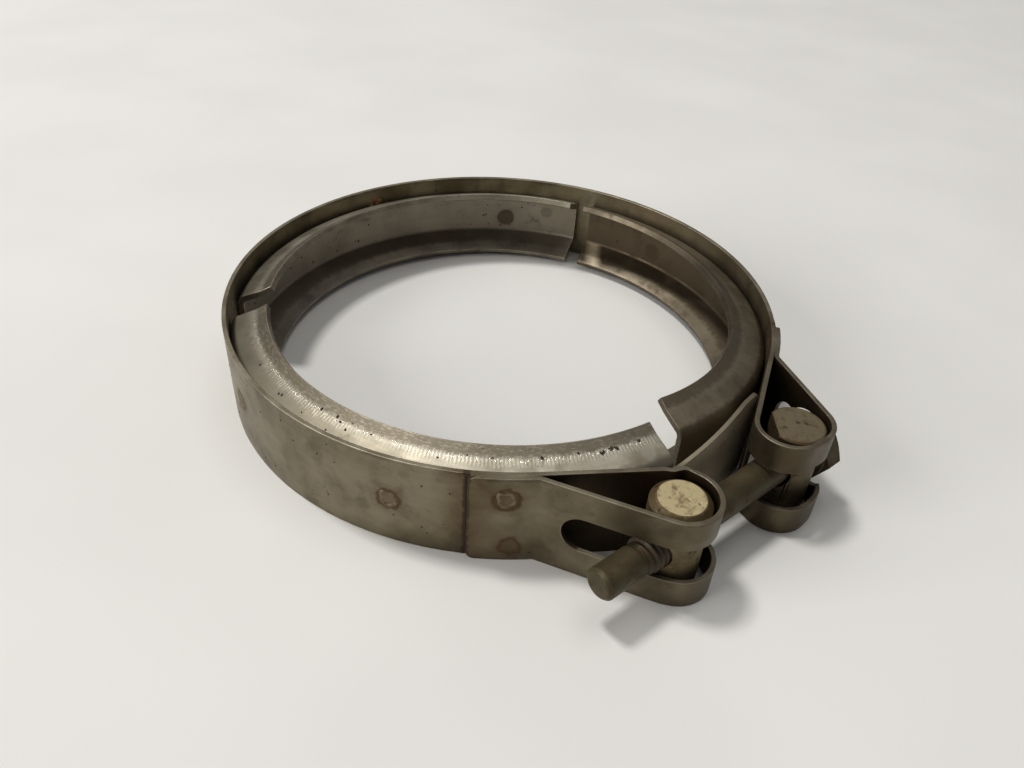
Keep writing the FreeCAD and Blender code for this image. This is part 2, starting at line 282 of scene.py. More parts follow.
class Paint(Graph):
    """A material's tree, read in millimetres from the piece's own coordinates."""

    def __init__(self, name: str) -> None:
        """Make the material and its coordinates.

        Args:
            name: the material's name.
        """
        self.material = bpy.data.materials.new(name)
        self.material.use_nodes = True
        self.material.node_tree.nodes.clear()
        super().__init__(self.material.node_tree)
        place = self.node("ShaderNodeTexCoord", out="Object")
        scale = {0: place, 3: 1 / MM}
        self.place = self.node("ShaderNodeVectorMath", {"operation": "SCALE"}, scale)
        self.x, self.y, self.z = self.split(self.place)
        self.angle = self.x.math("ARCTAN2", self.y)
        self.radius = (self.x * self.x + self.y * self.y).math("SQRT")

    def grain(self, size: float, detail: float = 3.0, place: Term | None = None,
              roughness: float = 0.55) -> Term:
        """Noise.

        Args:
            size: the size of its features in millimetres.
            detail: how many finer layers it has.
            place: where it is read, if not at the piece's own coordinates.
            roughness: how strong the finer layers are.

        Returns:
            Its value, about 0.5 on average.
        """
        values = {"Vector": place or self.place, "Scale": 1 / size, "Detail": detail,
                  "Roughness": roughness}
        return self.node("ShaderNodeTexNoise", {}, values)

    def cells(self, size: float, place: Term | None = None) -> Term:
        """The distance to the nearest of scattered points, in units of their spacing.

        Args:
            size: how far apart the points lie, in millimetres.
            place: the coordinates, or the piece's own.

        Returns:
            That distance.
        """
        values = {"Vector": place or self.place, "Scale": 1 / size}
        return self.node("ShaderNodeTexVoronoi", {}, values)

    def mix(self, share: "float | Term", first: "Colour | Term", second: "Colour | Term",
            mode: str = "MIX") -> Term:
        """Blend two colours.

        Args:
            share: how much of the second there is.
            first: the first colour.
            second: the second colour.
            mode: the way they blend.

        Returns:
            The blend.
        """
        ends = [c if isinstance(c, Term) else (*c, 1.0) for c in (first, second)]
        settings = {"data_type": "RGBA", "blend_type": mode}
        return self.node("ShaderNodeMix", settings, {0: share, 6: ends[0], 7: ends[1]}, out=2)

    def around(self, radius: float, stretch: float = 1.0, lift: float = 1.0) -> Term:
        """Coordinates that follow the ring.

        Args:
            radius: the radius at which lengths round the ring are true.
            stretch: how far features are drawn out along the ring.
            lift: how far they are drawn out along the ring's axis.

        Returns:
            The vector round, up and out.
        """
        return self.join(self.angle * (radius / stretch), self.z * (1 / lift), self.radius)

    def spot_distance(self, spot: Spot, radius: float) -> Term:
        """The distance from a spot's middle, along the ring's face.

        Args:
            spot: the spot.
            radius: the face's radius, in millimetres.

        Returns:
            That distance, in millimetres.
        """
        turned = math.remainder(math.radians(90 - spot.angle), 2 * math.pi)
        across = (self.angle - turned) * radius
        up = self.z - spot.height
        return (across * across + up * up).math("SQRT")

    def hollow_mask(self, hollow: Hollow) -> Term:
        """The faces inside a strap loop.

        Args:
            hollow: the loop's inside.

        Returns:
            Their mask.
        """
        sides = [self.x * nx + self.y * ny - off for nx, ny, off in hollow.strands]
        x, y = self.x - hollow.pin[0], self.y - hollow.pin[1]
        far = (x * x + y * y).math("SQRT")
        along = x * hollow.away[0] + y * hollow.away[1]
        round_pin = far.rise(hollow.inner_radius + 0.5, hollow.inner_radius + 0.2)
        between = sides[0].lesser(sides[1]).rise(-0.55, -0.25)
        return between * along.rise(-1.0, -1.8).greater(round_pin)

    def close(self, colour: Term, metallic: "float | Term", roughness: Term,
              height: Term) -> bpy.types.Material:
        """End the tree in its shader.

        Args:
            colour: the base colour.
            metallic: how metallic it is.
            roughness: how rough it is.
            height: the relief in millimetres.

        Returns:
            The material.
        """
        bump = self.node("ShaderNodeBump", {}, {"Strength": 1.0, "Distance": MM,
                                                "Height": height})
        sockets = {"Base Color": colour, "Metallic": metallic, "Roughness": roughness,
                   "Normal": bump, "Specular IOR Level": 0.25}
        shader = self.node("ShaderNodeBsdfPrincipled", {}, sockets)
        self.made("ShaderNodeOutputMaterial", {}, {0: shader})
        return self.material


@dataclass(frozen=True)
class SteelFinish:
    """A worn steel surface: colours, gloss, stains, dirt, painted shade and relief."""

    name: str
    bare: Colour
    dull: Colour
    stain: Colour
    dirt: Colour
    metallic: float = 0.9
    roughness: float = 0.42
    roughness_spread: float = 0.22
    cloud_size: float = 9.0
    stain_from: float = 0.60
    stain_most: float = 0.55
    dirt_from: float = 0.70
    dirt_size: float = 1.6
    speck_size: float = 2.6
    wave_height: float = 0.05
    wave_size: float = 9.0
    line_height: float = 0.004
    tooth_height: float = 0.006
    pit_height: float = 0.0
    ring_radius: float = 0.0
    spots: tuple[Spot, ...] = ()
    zones: tuple[Zone, ...] = ()
    seams: tuple[float, ...] = ()
    cap: Cap | None = None
    blotch_most: float = 0.0
    # Painted shade towards the closure, laid in the dirt colour.
    closure_painted_shade: float = 0.0
    # Painted shade on the lower flank and lip, darker towards the bottom, in the dirt colour.
    lower_painted_shade: float = 0.0
    # A duller finish on the ring's left side, partly painted shade against the lamp's highlight
    # there.
    left_dull_and_shade: float = 0.0
    # The loops' insides take dirt and painted shade, in the dirt colour.
    hollows: tuple[Hollow, ...] = ()
    hollow_dirt_and_shade: float = 0.78
    rim_height: float = 0.0

    def pattern_place(self, paint: Paint, stretch: float) -> Term:
        """Coordinates along the ring where the finish has one, else along the piece.

        Args:
            paint: the material's tree.
            stretch: how much longer the pattern is along the metal than across it.

        Returns:
            Those coordinates.
        """
        if self.ring_radius:
            return paint.around(self.ring_radius, stretch)
        return paint.join(paint.x * (1 / stretch), paint.y, paint.z)

    def spot_layers(self, paint: Paint, colour: Term, wobble: Term) -> tuple[Term, Term]:
        """Lay the heat marks over a colour.

        Args:
            paint: the material's tree.
            colour: the colour so far.
            wobble: noise that makes their outlines uneven.

        Returns:
            The colour with the marks, and their mask.
        """
        mask = paint.grain(50.0, 0.0) * 0.0
        for spot in self.spots:
            away = paint.spot_distance(spot, self.ring_radius)
            if spot.ring:
                away = away + (wobble - 0.5) * 1.9
                halo = away.rise(spot.radius * 1.9, spot.radius * 0.8) * 0.3
                scorch = 0.5 + away.rise(spot.radius * 0.4, spot.radius * 0.85) * 0.5
                mark = away.rise(spot.radius + 0.45, spot.radius - 0.45) * scorch
            else:
                away = away + (wobble - 0.5) * 0.7
                halo = away.rise(spot.radius * 1.5, spot.radius * 0.9) * 0.2
                mark = away.rise(spot.radius + 0.2, spot.radius - 0.1)
            mask = mask.greater(halo.greater(mark) * spot.strength)
        return paint.mix(mask, colour, self.stain), mask

    def seam_masks(self, paint: Paint, wobble: Term) -> tuple[Term, Term]:
        """Dirt in the step at each tab's end, and the brown stain that bleeds from it.

        Args:
            paint: the material's tree.
            wobble: noise that makes them uneven.

        Returns:
            The masks of the dirt and of the stain.
        """
        dirt = wobble * 0.0
        stain = dirt
        for angle in self.seams:
            turned = math.remainder(math.radians(90 - angle), math.tau)
            away = abs((paint.angle - turned) * self.ring_radius) + (wobble - 0.5) * 1.1
            dirt = dirt.greater(away.rise(0.8, 0.25) * 0.9)
            stain = stain.greater(away.rise(5.5, 0.4) * 0.7)
        return dirt, stain

    def capped(self, paint: Paint, colour: Term, wobble: Term) -> Term:
        """Tint a pin's end face and the rust round it.

        Args:
            paint: the material's tree.
            colour: the colour so far.
            wobble: noise that makes the outline uneven.

        Returns:
            The colour with the end face.
        """
        cap = self.cap
        across = paint.x - cap.x
        along = paint.y - cap.y
        away = (across * across + along * along).math("SQRT") + (wobble - 0.5) * 0.7
        top = paint.z.rise(cap.height - 0.35, cap.height - 0.1)
        rim = paint.z.rise(cap.height - 2.6, cap.height - 0.5)
        colour = paint.mix(rim * 0.8, colour, cap.rim_tint)
        mottle = paint.grain(1.7, 4.0, roughness=0.6).rise(0.55, 0.68) * 0.55
        tint = paint.mix(mottle, cap.tint, cap.rim_tint)
        return paint.mix(top * away.rise(cap.radius + 0.12, cap.radius - 0.12), colour, tint)

    def dress(self) -> bpy.types.Material:
        """Build the material.

        Returns:
            The material.
        """
        paint = Paint(self.name)
        cloud = paint.grain(self.cloud_size, 4.0)
        fine = paint.grain(0.8, 3.0)
        colour = paint.mix(cloud.rise(0.35, 0.68), self.bare, self.dull)
        streak = paint.grain(0.9, 3.0, self.pattern_place(paint, 9.0))
        shade = streak.rise(0.3, 0.75) * 0.22
        colour = paint.mix(shade, colour, self.dull)
        if self.cap:
            colour = self.capped(paint, colour, paint.grain(0.9, 4.0))
        if self.blotch_most:
            blotch = paint.grain(3.4, 3.0, roughness=0.55).rise(0.5, 0.74) * self.blotch_most
            colour = paint.mix(blotch, colour, self.dull, "MULTIPLY")
        # Painted shade: darker towards the closure, in the dirt colour.
        if self.closure_painted_shade:
            closure_shade = paint.x.rise(-46.0, 0.0) * paint.y.rise(-32.0, -44.0) * self.closure_painted_shade
            colour = paint.mix(closure_shade, colour, self.dirt)
        # Partly a duller finish, partly painted shade: the left side is dulled against the lamp's
        # highlight.
        if self.left_dull_and_shade:
            left = (paint.x + cloud * 14.0).rise(-20.0, -42.0) * self.left_dull_and_shade
            colour = paint.mix(left, colour, self.dull)
        # Dirt and painted shade inside the strap loops.
        for hollow in self.hollows:
            inside = paint.hollow_mask(hollow) * self.hollow_dirt_and_shade
            colour = paint.mix(inside, colour, self.dirt)
        teeth = fine * 0.0
        for zone in self.zones:
            inside = abs(paint.z) + (fine - 0.5) * 0.8
            share = inside.rise(zone.low - 0.2, zone.low + 0.2)
            share = share * inside.rise(zone.high + 0.2, zone.high - 0.2)
            colour = paint.mix(share * zone.strength, colour, zone.tint)
            if zone.dashes:
                dash = paint.grain(0.3, 2.0, paint.around(self.ring_radius, 2.8)).rise(0.48, 0.7)
                colour = paint.mix(share * dash * zone.dashes, colour, self.bare)
            if zone.teeth:
                turn = paint.angle * (self.ring_radius * math.tau / 0.62) + fine * 5.0
                comb = turn.math("SINE") * 0.4 + fine
                teeth = teeth + share * comb * zone.teeth
        # Painted shade: the lower flank and lip darken towards the bottom.
        if self.lower_painted_shade:
            under = paint.z.rise(-3.4, -6.6) * self.lower_painted_shade
            colour = paint.mix(under, colour, self.dirt)
        smudge = paint.grain(self.cloud_size * 0.55, 5.0, roughness=0.62)
        stained = smudge.rise(self.stain_from, self.stain_from + 0.16) * self.stain_most
        colour = paint.mix(stained, colour, self.stain)
        colour, spots = self.spot_layers(paint, colour, paint.grain(1.9, 3.0))
        if self.seams:
            seam, bleed = self.seam_masks(paint, paint.grain(1.3, 4.0))
            colour = paint.mix(bleed * (0.35 + smudge), colour, self.stain)
            colour = paint.mix(seam, colour, self.dirt)
            spots = spots.greater(seam)
        grit = paint.grain(self.dirt_size, 4.0, roughness=0.7)
        dirt = grit.rise(self.dirt_from, self.dirt_from + 0.05)
        fleck = paint.cells(self.speck_size).rise(0.13, 0.06) * cloud.rise(0.54, 0.64)
        dirt = dirt.greater(fleck * 0.8)
        if self.rim_height:
            settled = (abs(paint.z) - self.rim_height + (smudge - 0.5) * 2.2).rise(-0.7, 0.15)
            dirt = dirt.greater(settled * smudge.rise(0.44, 0.6) * 0.5)
        colour = paint.mix(dirt, colour, self.dirt)
        worn = stained.greater(spots).greater(dirt)
        metallic = self.metallic - worn * (self.metallic * 0.55)
        rough = self.roughness + (smudge - 0.5) * self.roughness_spread + worn * 0.22
        rough = rough + (streak - 0.5) * 0.12
        wave = paint.grain(self.wave_size, 1.0) * self.wave_height
        lines = paint.grain(0.35, 2.0, self.pattern_place(paint, 14.0)) * self.line_height
        tooth = fine * self.tooth_height + paint.grain(0.22, 1.0) * (self.tooth_height * 0.5)
        height = wave + lines + tooth + teeth + dirt * 0.02
        if self.pit_height:
            pits = (paint.cells(1.5) + (fine - 0.5) * 0.35).rise(0.36, 0.12)
            pits = pits * paint.grain(2.2, 3.0).rise(0.44, 0.58)
            height = height - pits * self.pit_height
            colour = paint.mix(pits * 0.75, colour, self.dirt)
        return paint.close(colour, metallic, rough, height)


BAND_FACE = 51.0
BAND_BACK = 50.2
TAB_FACE = 51.8
WEB_FACE = 48.85

RUST_PATCHES = (
    Spot(86.0, 5.2, 0.7, 1.0, False),
    Spot(69.0, 5.8, 0.3, 0.7, False),
)
BAND_WELDS = (
    Spot(-148.2, 0.2, 2.2, 0.95),
    Spot(49.5, -0.8, 2.1, 0.8),
    Spot(5.2, -0.8, 2.0, 0.9),
    Spot(132.0, 0.3, 2.2, 0.8),
    Spot(98.0, -0.4, 1.9, 0.7),
    Spot(172.0, 0.4, 2.1, 0.8),
)
TAB_WELDS = (
    Spot(-128.2, 4.4, 2.3, 1.0),
    Spot(-127.3, -5.4, 2.0, 1.0),
    Spot(-51.8, 4.4, 2.2, 0.9),
    Spot(-52.7, -5.4, 2.0, 1.0),
)
WEB_WELDS = (
    Spot(49.5, -0.8, 2.0, 0.85, False),
    Spot(5.2, -0.8, 2.0, 0.85, False),
    Spot(38.0, 1.5, 1.3, 0.3, False),
)

# The loops' insides, where dirt and painted shade are laid.
LOOP_HOLLOWS = (
    Hollow((-14.0, -57.5), (0.687, -0.727), ((-0.543, -0.840, 51.01), (0.881, 0.473, -44.68))),
    Hollow((13.9, -57.5), (-0.649, -0.761), ((0.492, -0.870, 50.97), (-0.916, 0.401, -40.74))),
)

STRAP_FACE_FINISH = SteelFinish(
    "strap_sheet_worn", (0.235, 0.202, 0.137), (0.14, 0.116, 0.073), (0.078, 0.042, 0.017),
    (0.042, 0.026, 0.013), roughness=0.43, stain_from=0.62, stain_most=0.4, dirt_from=0.75,
    ring_radius=BAND_FACE, spots=BAND_WELDS + TAB_WELDS + RUST_PATCHES,
    rim_height=8.5, blotch_most=0.3,
    # Painted shade darkens the strap towards the closure; the loops' insides take dirt and painted
    # shade.
    seams=(-134.75, -48.65), wave_height=0.07, closure_painted_shade=0.6, hollows=LOOP_HOLLOWS,
)
STRAP_EDGE_FINISH = SteelFinish(
    "strap_sheared_edge", (0.33, 0.29, 0.205), (0.20, 0.17, 0.115), (0.11, 0.066, 0.03),
    (0.042, 0.026, 0.013), roughness=0.46, stain_from=0.55, cloud_size=5.0,
    # Painted shade darkens the edges towards the closure.
    ring_radius=BAND_FACE, line_height=0.006, seams=(-134.75, -48.65), closure_painted_shade=0.4,
)
RETAINER_FACE_FINISH = SteelFinish(
    "retainer_sheet_worn", (0.41, 0.372, 0.292), (0.215, 0.187, 0.135), (0.085, 0.066, 0.04),
    (0.028, 0.02, 0.014), roughness=0.5, stain_from=0.60, stain_most=0.55, dirt_from=0.72,
    ring_radius=WEB_FACE, spots=WEB_WELDS, blotch_most=0.35, wave_height=0.06,
    zones=(
        Zone(-1.0, 5.2, (0.22, 0.19, 0.145), 0.75),
        # The lip is darker: partly its rougher finish, partly painted shade for the light it
        # reflects less.
        Zone(6.6, 9.0, (0.15, 0.125, 0.088), 0.85, dashes=0.35),
        # The knee band is lighter: partly the bright tool-marked metal, partly a painted
        # highlight.
        Zone(6.1, 6.66, (0.60, 0.56, 0.45), 0.2, teeth=0.02),
    ),
    # Painted shade darkens the lower flank and lip; the left side is dulled, partly a duller
    # finish and partly painted shade.
    lower_painted_shade=0.6, left_dull_and_shade=0.8,
)
RETAINER_EDGE_FINISH = SteelFinish(
    "retainer_sheared_edge", (0.36, 0.32, 0.24), (0.22, 0.19, 0.135), (0.11, 0.066, 0.032),
    (0.045, 0.03, 0.02), roughness=0.45, stain_from=0.54, cloud_size=5.0,
    ring_radius=WEB_FACE, line_height=0.006,
)
DARK_RETAINER_FINISH = replace(
    RETAINER_FACE_FINISH, name="retainer_sheet_browned", bare=(0.22, 0.185, 0.128),
    dull=(0.145, 0.118, 0.08), stain=(0.065, 0.042, 0.022), stain_from=0.52,
    zones=(
        Zone(-1.0, 5.2, (0.085, 0.062, 0.038), 0.8),
        # The lip is darker: partly its rougher finish, partly painted shade for the light it
        # reflects less.
        Zone(6.6, 9.0, (0.12, 0.095, 0.065), 0.7, dashes=0.2),
        # The knee band is lighter: partly the bright tool-marked metal, partly a painted
        # highlight.
        Zone(6.2, 6.66, (0.30, 0.25, 0.18), 0.2, teeth=0.008),
    ),
    # Painted shade darkens the lower flank and lip, more lightly here.
    lower_painted_shade=0.15, left_dull_and_shade=0.0,
)
DARK_EDGE_FINISH = replace(
    RETAINER_EDGE_FINISH, name="retainer_edge_browned", bare=(0.15, 0.125, 0.086),
    dull=(0.10, 0.08, 0.054),
)
LEAF_FACE_FINISH = SteelFinish(
    "leaf_sheet_satin", (0.55, 0.475, 0.34), (0.42, 0.355, 0.25), (0.16, 0.10, 0.05),
    (0.05, 0.036, 0.022), metallic=0.3, roughness=0.42, stain_from=0.6,
)
LEAF_EDGE_FINISH = SteelFinish(
    "leaf_sheared_edge", (0.16, 0.135, 0.09), (0.11, 0.09, 0.06), (0.09, 0.055, 0.028),
    (0.04, 0.028, 0.018), metallic=0.5, roughness=0.5,
)
NEAR_PIN_FINISH = SteelFinish(
    "near_pin_cream", (0.175, 0.138, 0.07), (0.11, 0.083, 0.04), (0.095, 0.055, 0.022),
    (0.035, 0.024, 0.014), metallic=0.5, roughness=0.52, stain_from=0.5, stain_most=0.6,
    cloud_size=3.0, wave_height=0.04, wave_size=3.0, tooth_height=0.016, pit_height=0.14,
    cap=Cap(-14.0, -57.5, 3.68, 7.8, (0.50, 0.41, 0.225), (0.095, 0.064, 0.026)),
)
PIN_EDGE_FINISH = SteelFinish(
    "pin_edge_rust", (0.15, 0.105, 0.06), (0.10, 0.065, 0.036), (0.075, 0.042, 0.02),
    (0.03, 0.02, 0.012), metallic=0.5, roughness=0.58, stain_from=0.45, cloud_size=3.0,
    tooth_height=0.016,
)
FAR_PIN_FINISH = SteelFinish(
    "far_pin_grey_brown", (0.15, 0.12, 0.068), (0.098, 0.074, 0.042), (0.08, 0.046, 0.02),
    (0.03, 0.02, 0.013), metallic=0.5, roughness=0.52, stain_from=0.52, stain_most=0.7,
    cloud_size=3.0, wave_height=0.04, wave_size=3.0, tooth_height=0.016, pit_height=0.08,
    cap=Cap(13.9, -57.5, 4.25, 7.4, (0.155, 0.123, 0.072), (0.075, 0.048, 0.02)),
)
BOLT_FINISH = SteelFinish(
    "bolt_dull_rusted", (0.085, 0.069, 0.035), (0.054, 0.042, 0.021), (0.055, 0.03, 0.012),
    (0.025, 0.017, 0.011), metallic=0.5, roughness=0.5, stain_from=0.5, stain_most=0.75,
    cloud_size=4.0, wave_height=0.03, wave_size=2.5, tooth_height=0.02, line_height=0.0,
)
THREAD_FINISH = replace(
    BOLT_FINISH, name="thread_dark", bare=(0.075, 0.06, 0.038), dull=(0.045, 0.036, 0.022),
)
WELD_FINISH = SteelFinish(
    "weld_ring_scorched", (0.19, 0.15, 0.09), (0.12, 0.085, 0.045), (0.08, 0.046, 0.02),
    (0.03, 0.02, 0.013), metallic=0.7, roughness=0.42, stain_from=0.5, cloud_size=1.6,
    tooth_height=0.012,
)
NICK_FINISH = SteelFinish(
    "tool_mark_bright", (0.74, 0.70, 0.60), (0.55, 0.51, 0.42), (0.3, 0.25, 0.2),
    (0.1, 0.08, 0.06), metallic=0.95, roughness=0.3, cloud_size=3.0, stain_from=0.68,
)
RUST_FINISH = SteelFinish(
    "rust_blister", (0.30, 0.15, 0.07), (0.19, 0.09, 0.04), (0.11, 0.05, 0.022),
    (0.04, 0.022, 0.012), metallic=0.0, roughness=0.75, cloud_size=1.2, tooth_height=0.03,
)
GRIT_FINISH = SteelFinish(
    "baked_dirt", (0.04, 0.028, 0.018), (0.026, 0.018, 0.012), (0.055, 0.032, 0.016),
    (0.012, 0.009, 0.007), metallic=0.0, roughness=0.8, cloud_size=2.0, tooth_height=0.03,
)


# ---- making pieces -------------------------------------------------------------------------


def as_plain_mesh(piece: bpy.types.Object) -> bpy.types.Object:
    """Put what a piece's modifiers make into its mesh.

    Args:
        piece: the piece.

    Returns:
        The same piece, with no modifier left.
    """
    depsgraph = bpy.context.evaluated_depsgraph_get()
    made = bpy.data.meshes.new_from_object(piece.evaluated_get(depsgraph))
    piece.modifiers.clear()
    piece.data = made
    return piece


def linked(name: str, mesh: bpy.types.Mesh) -> bpy.types.Object:
    """Put a new object in the scene.

    Args:
        name: the object's name.
        mesh: its mesh.

    Returns:
        The object.
    """
    piece = bpy.data.objects.new(name, mesh)
    bpy.context.scene.collection.objects.link(piece)
    return piece


class EdgeRule(Enum):
    """Which flat faces of a solid are sheared edges."""

    RIMS = "faces along the ring's axis"
    SHEET_ENDS = "a retainer's tips and cut ends"
    ALL_ROUND = "every face across the sheet's thickness"
    NONE = "no face"


def is_sheared(face: bmesh.types.BMFace, rule: EdgeRule) -> bool:
    """Whether a face is a sheared edge.

    Args:
        face: the face.
        rule: which faces count.

    Returns:
        True if it is.
    """
    centre = face.calc_center_median()
    out = Vector((centre.x, centre.y, 0)).normalized()
    along = Vector((-out.y, out.x, 0))
    if rule is EdgeRule.RIMS:
        return abs(face.normal.z) > 0.98
    if rule is EdgeRule.ALL_ROUND:
        return abs(face.normal.dot(out)) < 0.4
    if rule is EdgeRule.SHEET_ENDS:
        is_tip = face.normal.dot(out) < -0.7 and abs(centre.z) > 6.6 * MM
        return is_tip or abs(face.normal.dot(along)) > 0.9
    return False


@dataclass
class RoundedSolid:
    """A solid's shape with its sharp edges worn round, which stands for its node."""

    node: str
    name: str
    slot: str
    body: str
    face_finish: SteelFinish
    edge_finish: SteelFinish
    edge_width: float = 0.12
    rule: EdgeRule = EdgeRule.NONE

    def merged(self) -> bpy.types.Mesh:
        """A copy of the solid's mesh with its corners merged and its flats whole."""
        work = bmesh.new()
        work.from_mesh(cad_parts[self.node].data)
        bmesh.ops.remove_doubles(work, verts=work.verts, dist=MERGE_DISTANCE)
        bmesh.ops.dissolve_limit(work, angle_limit=FLAT_ANGLE, verts=work.verts, edges=work.edges)
        self.reshape(work)
        work.normal_update()
        for face in work.faces:
            face.smooth = True
            face.material_index = EDGE_SLOT if is_sheared(face, self.rule) else 0
        mesh = bpy.data.meshes.new(self.name)
        work.to_mesh(mesh)
        work.free()
        for layer in ("custom_normal", "sharp_edge", "sharp_face"):
            if layer in mesh.attributes:
                mesh.attributes.remove(mesh.attributes[layer])
        return mesh

    def reshape(self, work: bmesh.types.BMesh) -> None:
        """Change the copy before its edges are rounded; most pieces leave it as it is.

        Args:
            work: the copy of the solid's mesh.
        """

    def build(self) -> bpy.types.Object:
        """Make the piece.

        Returns:
            The piece, riding on its body.
        """
        mesh = self.merged()
        mesh.materials.append(self.face_finish.dress())
        mesh.materials.append(self.edge_finish.dress())
        piece = linked(self.name, mesh)
        bevel = piece.modifiers.new("worn edges", "BEVEL")
        bevel.width = self.edge_width * MM
        bevel.segments = 2
        bevel.limit_method = "ANGLE"
        bevel.angle_limit = SHARP_ANGLE
        bevel.use_clamp_overlap = False
        bevel.harden_normals = True
        bevel.material = EDGE_SLOT
        limit = max(abs(vert.co.z) for vert in mesh.vertices)
        as_plain_mesh(piece)
        for vert in piece.data.vertices:
            vert.co.z = min(limit, max(-limit, vert.co.z))
        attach(piece, self.body)
        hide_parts(self.node)
        LOG.info("%s: %d faces", self.name, len(piece.data.polygons))
        return piece


# ---- repeated marks ------------------------------------------------------------------------


class Recipe(Graph):
    """A Geometry Nodes tree with named sizes and a seed."""

    def __init__(self, name: str) -> None:
        """Make the tree with its geometry input and output."""
        tree = bpy.data.node_groups.new(name, "GeometryNodeTree")
        super().__init__(tree)
        shape = "NodeSocketGeometry"
        tree.interface.new_socket("Geometry", in_out="INPUT", socket_type=shape)
        tree.interface.new_socket("Geometry", in_out="OUTPUT", socket_type=shape)
        self.entry = tree.nodes.new("NodeGroupInput")
        self.exit = tree.nodes.new("NodeGroupOutput")
        self.values: dict[str, float] = {}

    def size(self, name: str, value: float, kind: str = "NodeSocketFloat") -> Term:
        """Add a named input.

        Args:
            name: the input's name.
            value: what the modifier gives it.
            kind: the socket's type.

        Returns:
            The input inside the tree.
        """
        socket = self.tree.interface.new_socket(name, in_out="INPUT", socket_type=kind)
        self.values[socket.identifier] = value
        found = [o for o in self.entry.outputs if o.identifier == socket.identifier]
        return Term(self, found[0])

    def given(self) -> Term:
        """The geometry that comes in."""
        return Term(self, self.entry.outputs[0])

    def grow(self, name: str, result: Term, finish: SteelFinish,
             points: list[Vector]) -> bpy.types.Object:
        """Run the tree.

        Args:
            name: the piece's name.
            result: the geometry at the end of the tree.
            finish: the piece's finish.
            points: the corners of the mesh that goes in.

        Returns:
            The piece as a plain mesh.
        """
        material = finish.dress()
        real = self.node("GeometryNodeRealizeInstances", {}, {0: result})
        dressed = self.node("GeometryNodeSetMaterial", {}, {0: real, "Material": material})
        self.tree.links.new(dressed.socket, self.exit.inputs[0])
        mesh = bpy.data.meshes.new(name)
        mesh.from_pydata([tuple(p) for p in points], [], [])
        piece = linked(name, mesh)
        modifier = piece.modifiers.new(name, "NODES")
        modifier.node_group = self.tree
        for identifier, value in self.values.items():
            modifier[identifier] = value
        as_plain_mesh(piece)
        LOG.info("%s: %d faces", name, len(piece.data.polygons))
        return piece


@dataclass
class ThreadTurns:
    """The bolt's rolled thread where it stands out of the near pin."""

    start: float = -21.55
    length: float = 12.0
    root_radius: float = 2.42
    crest_radius: float = 2.95
    pitch: float = 1.0
    line_y: float = -57.5
    segments: int = 48
    rows_per_turn: int = 8

    def build(self) -> bpy.types.Object:
        """Make the thread.

        Returns:
            The thread's piece, riding on the bolt.
        """
        recipe = Recipe("thread turns")
        start = recipe.size("Start", self.start * MM)
        length = recipe.size("Length", self.length * MM)
        root = recipe.size("Root Radius", self.root_radius * MM)
        crest = recipe.size("Crest Radius", self.crest_radius * MM)
        pitch = recipe.size("Pitch", self.pitch * MM)
        line_y = recipe.size("Bolt Line", self.line_y * MM)
        rows = round(self.length / self.pitch * self.rows_per_turn)
        grid = recipe.node("GeometryNodeMeshGrid", {}, {
            "Size X": 1.0, "Size Y": 1.0,
            "Vertices X": self.segments + 1, "Vertices Y": rows + 1,
        })
        u, v, _ = recipe.split(recipe.node("GeometryNodeInputPosition"))
        turn = (u + 0.5) * math.tau
        run = (v + 0.5) * length
        phase = (run / pitch - u).math("FRACT")
        flank = (1.0 - abs(phase * 2.0 - 1.0)) * 1.35 - 0.12
        ridge = flank.greater(0.0).lesser(1.0)
        fade = (run.lesser(length - run) / pitch).lesser(1.0)
        radius = root + (crest - root) * ridge * fade
        place = recipe.join(start + run, line_y + radius * turn.math("COSINE"),
                            radius * turn.math("SINE"))
        moved = recipe.node("GeometryNodeSetPosition", {}, {0: grid, "Position": place})
        welded = recipe.node("GeometryNodeMergeByDistance", {}, {
            0: moved, "Distance": MERGE_DISTANCE,
        })
        smooth = recipe.node("GeometryNodeSetShadeSmooth", {}, {0: welded})
        piece = recipe.grow("bolt_thread_turns", smooth, THREAD_FINISH, [])
        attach(piece, BOLT_BODY)
        return piece


class Mark(Enum):
    """The small things that lie on the ring's faces."""

    WELD = "the raised lip round a spot weld"
    NICK = "a short bright tool mark"
    GRAIN = "a grain of baked dirt"


